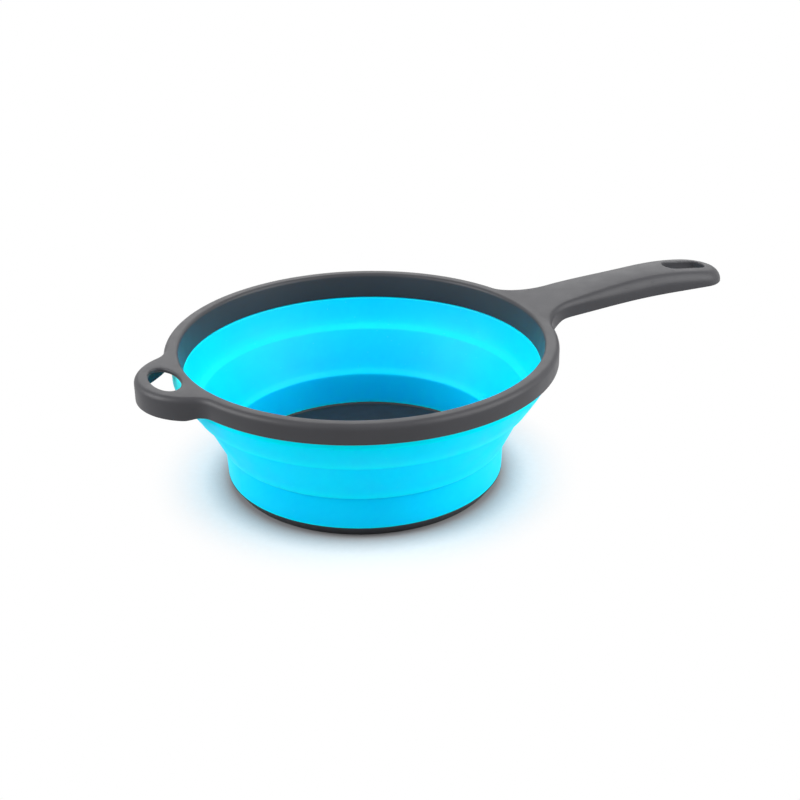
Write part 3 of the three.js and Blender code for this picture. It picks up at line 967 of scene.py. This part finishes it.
def floor_material():
    """Pale and matte near the object, with a painted contact shadow close to the base, and plain white
    further off.
    """
    nodes = Nodes(bpy.data.materials.new("studio_floor"))
    matte = nodes.add("ShaderNodeBsdfDiffuse")
    pale = nodes.ramp(nodes.noise(300, detail=2), FLOOR_PALES)
    # Painted contact shadow: the floor's colour goes to dark grey where ambient occlusion finds the base
    # near
    openness = nodes.add("ShaderNodeAmbientOcclusion", samples=16, Distance=CONTACT_REACH)
    away = nodes.ranged(openness.outputs["AO"], (0, 1), CONTACT_SPAN)
    nodes.link(nodes.mixed(away, CONTACT_SHADOW_GREY, pale), matte.inputs["Color"])
    white = nodes.add("ShaderNodeEmission")
    distance = nodes.add("ShaderNodeVectorMath", operation="LENGTH")
    nodes.link(nodes.place, distance.inputs[0])
    far = nodes.ranged(distance.outputs["Value"], (0, 1), FADE_SPAN, interpolation_type="SMOOTHSTEP")
    blend = nodes.add("ShaderNodeMixShader")
    nodes.link(nodes.combined("MULTIPLY", far, seen_directly(nodes)), blend.inputs["Fac"])
    nodes.link(matte.outputs["BSDF"], blend.inputs[1])
    nodes.link(white.outputs["Emission"], blend.inputs[2])
    nodes.link(blend.outputs["Shader"], nodes.output.inputs["Surface"])
    return nodes.owner


def make_floor():
    """A floor that keeps the object's shadow."""
    mesh = bpy.data.meshes.new("studio_floor")
    low = -FLOOR_REACH
    high = FLOOR_REACH
    mesh.from_pydata([(low, low, 0), (high, low, 0), (high, high, 0), (low, high, 0)], [], [(0, 1, 2, 3)])
    mesh.materials.append(floor_material())
    floor = bpy.data.objects.new("studio_floor", mesh)
    bpy.context.scene.collection.objects.link(floor)


def make_world():
    """Even light on the object, and plain white where the world itself is seen."""
    nodes = Nodes(bpy.data.worlds.new("studio"), "ShaderNodeOutputWorld")
    background = nodes.add("ShaderNodeBackground", Color=(1, 1, 1, 1))
    strength = nodes.ranged(seen_directly(nodes), (WORLD_LIGHT, 1), span=(0, 1))
    nodes.link(strength, background.inputs["Strength"])
    nodes.link(background.outputs["Background"], nodes.output.inputs["Surface"])
    bpy.context.scene.world = nodes.owner


def softbox(name, place, aim, width, height, power):
    """A rectangular lamp at a place, turned towards its aim."""
    lamp = bpy.data.lights.new(name, "AREA")
    lamp.shape = "RECTANGLE"
    lamp.size = width
    lamp.size_y = height
    lamp.energy = power
    holder = bpy.data.objects.new(name, lamp)
    holder.location = place
    holder.rotation_euler = (Vector(aim) - Vector(place)).to_track_quat("-Z", "Y").to_euler()
    bpy.context.scene.collection.objects.link(holder)


def make_lamps():
    softbox("top_softbox", place=(0.0, 0.1, 1.3), aim=(0, 0, 0.05), width=1.2, height=0.9, power=2)
    softbox("back_softbox", place=(0.6, 1.25, 0.75), aim=(0, 0, 0.05), width=1.6, height=0.8, power=6.5)
    softbox("right_softbox", place=(0.85, -0.75, 0.8), aim=(0.05, 0, 0.06), width=1.2, height=1.2, power=21)
    softbox("left_softbox", place=(-1.05, 0.3, 0.7), aim=(0, 0, 0.06), width=0.8, height=0.8, power=15)


def make_camera():
    """A camera at the photograph's place, with its heading, pitch and roll, for a square picture."""
    ahead = Vector(CAMERA_HEADING).normalized()
    forward = ahead * math.cos(CAMERA_PITCH) - Vector((0, 0, 1)) * math.sin(CAMERA_PITCH)
    level_right = Vector((ahead.y, -ahead.x, 0))
    level_down = forward.cross(level_right)
    right = level_right * math.cos(CAMERA_ROLL) + level_down * math.sin(CAMERA_ROLL)
    up = level_right * math.sin(CAMERA_ROLL) - level_down * math.cos(CAMERA_ROLL)
    lens = bpy.data.cameras.new("photo_camera")
    lens.sensor_width = CAMERA_SENSOR
    lens.lens = CAMERA_LENS
    camera = bpy.data.objects.new("photo_camera", lens)
    turn = Matrix((right, up, -forward)).transposed().to_4x4()
    camera.matrix_world = Matrix.Translation(Vector(CAMERA_PLACE)) @ turn
    bpy.context.scene.collection.objects.link(camera)
    bpy.context.scene.camera = camera


make_rim_frame(moulded_plastic("grey_plastic", FRAME_GREYS, FRAME_ROUGHNESS))
make_sleeve(silicone())
make_base(moulded_plastic("base_plastic", BASE_GREYS, BASE_ROUGHNESS))
make_floor()
make_world()
make_lamps()
make_camera()
bpy.context.scene.view_settings.view_transform = "Standard"
